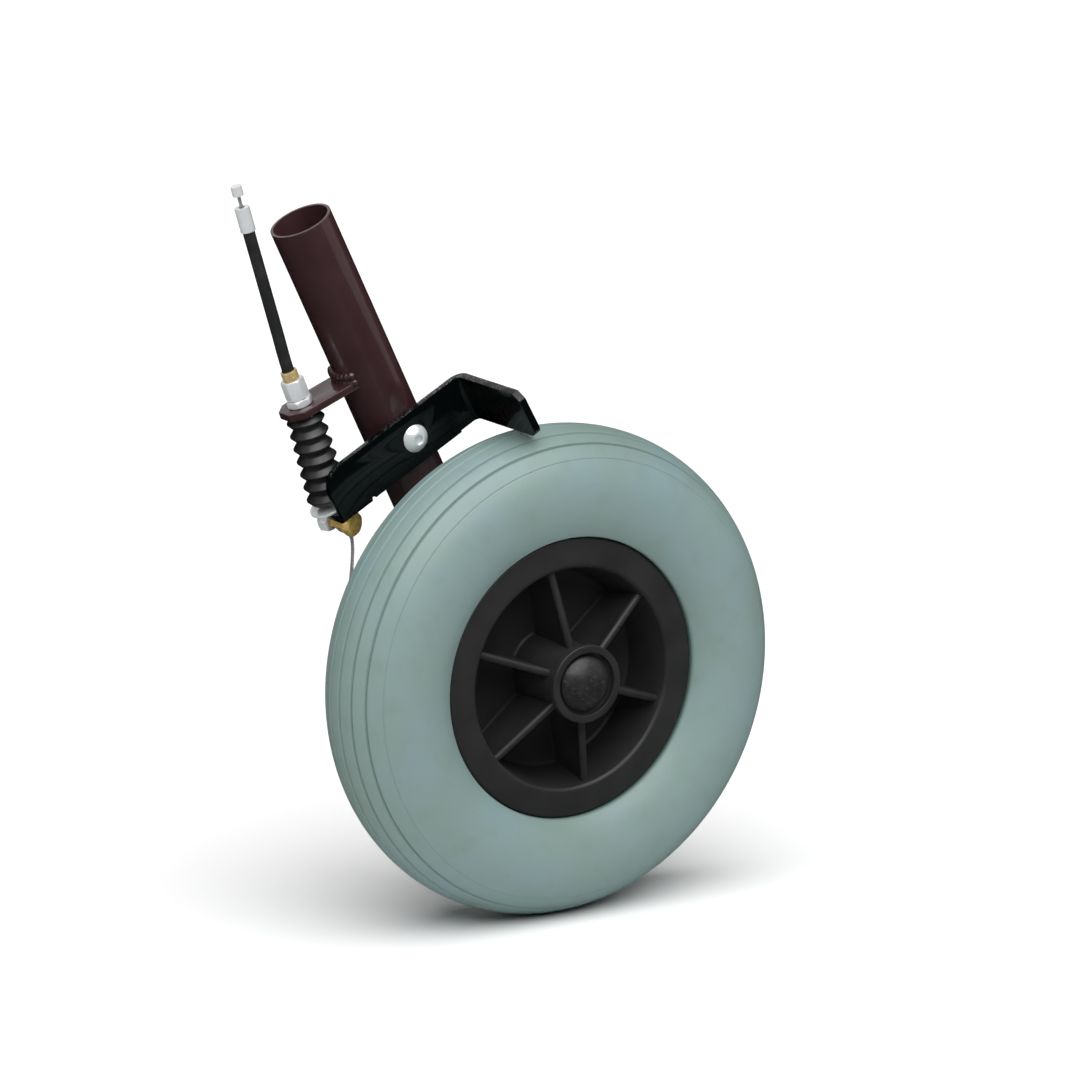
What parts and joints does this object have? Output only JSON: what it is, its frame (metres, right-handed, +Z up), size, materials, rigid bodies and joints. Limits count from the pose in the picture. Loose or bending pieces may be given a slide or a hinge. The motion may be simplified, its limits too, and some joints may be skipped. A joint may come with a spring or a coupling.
{
  "type": "braked rear wheel unit",
  "caption": "Grey solid-tyred wheel with a ribbed plastic hub on a leaning leg tube, with a cable-worked shoe brake, its return spring and a rubber boot",
  "frame": {"origin": "middle of the leg tube's open upper end", "axes": "+Z up with the wheel standing on level ground, +X along the rolling direction from the leg's foot toward the wheel's far side, -Y toward the wheel's outer face"},
  "size_m": [0.2186, 0.1012, 0.3012],
  "materials": {
    "frame_paint": "glossy burgundy enamel",
    "lever_paint": "glossy black enamel",
    "tyre": "solid grey-green polyurethane, satin",
    "hub_plastic": "black moulded nylon, satin",
    "black_plastic": "black moulded plastic",
    "boot_rubber": "soft black rubber",
    "cable_plastic": "extruded black PVC, satin",
    "zinc_plate": "bright zinc plate",
    "yellow_zinc": "yellow passivated zinc plate",
    "bright_steel": "ground bearing steel",
    "wire_steel": "stranded steel wire",
    "brass": "turned brass"
  },
  "bodies": {
    "leg": {"leg_tube": "frame_paint", "leg_end_plug": "black_plastic", "cable_tab": "frame_paint", "weld_beads": "frame_paint", "bearing_inner_rings": "bright_steel", "bearing_spacer": "zinc_plate", "axle_bolt": "zinc_plate", "axle_head_washer": "zinc_plate", "axle_spacer": "black_plastic", "axle_saddle_washer": "black_plastic", "axle_nut": "zinc_plate", "pivot_bolt": "zinc_plate", "pivot_bush": "brass", "pivot_saddle_washer": "black_plastic", "pivot_nut": "zinc_plate", "return_spring": "bright_steel", "boot": "boot_rubber", "jam_nut": "zinc_plate", "adjuster_nut": "zinc_plate"},
    "wheel": {"tyre": "tyre", "hub": "hub_plastic", "hub_cap": "hub_plastic", "bearing_outer_rings": "bright_steel", "bearing_balls": "bright_steel", "bearing_shields": "bright_steel"},
    "lever": {"brake_lever": "lever_paint", "spring_seat": "zinc_plate", "anchor_bolt": "yellow_zinc", "anchor_nut": "zinc_plate", "wire_tail": "wire_steel", "wire_end_cap": "zinc_plate"},
    "wire": {"inner_wire": "wire_steel", "wire_nipple": "zinc_plate"},
    "cable_outer": {"housing_ferrule": "brass", "cable_housing": "cable_plastic", "upper_ferrule": "zinc_plate"},
    "adjuster": {"adjuster_bolt": "zinc_plate"}
  },
  "joints": [
    {"name": "wheel_spin", "type": "hinge", "parent": "leg", "child": "wheel", "pos_m": [0.0876, -0.0437, -0.18424], "axis": [0, 1, 0], "continuous": true},
    {"name": "lever_pivot", "type": "hinge", "parent": "leg", "child": "lever", "pos_m": [0.04251, -0.0145, -0.08941], "axis": [0, 1, 0], "range_deg": [0, 1.3], "stiffness_Nm_per_rad": 1.75, "springref_deg": -18.91, "deforming": ["return_spring", "boot"]},
    {"name": "wire_pull", "type": "slide", "parent": "leg", "child": "wire", "axis": [-0.2944, 0, 0.9557], "range_m": [0, 0.00082]},
    {"name": "adjuster_lift", "type": "slide", "parent": "leg", "child": "cable_outer", "axis": [-0.3698, 0, 0.9291], "range_m": [0, 0.002]},
    {"name": "adjuster_turn", "type": "hinge", "parent": "cable_outer", "child": "adjuster", "pos_m": [0.00004, 0, -0.07482], "axis": [-0.3698, 0, 0.9291], "range_deg": [0, 721]}
  ],
  "couplings": [
    {"joint": "lever_pivot", "follows": "wire_pull", "rad_per_m": 27.548},
    {"joint": "adjuster_turn", "follows": "adjuster_lift", "rad_per_m": 6283.2}
  ]
}
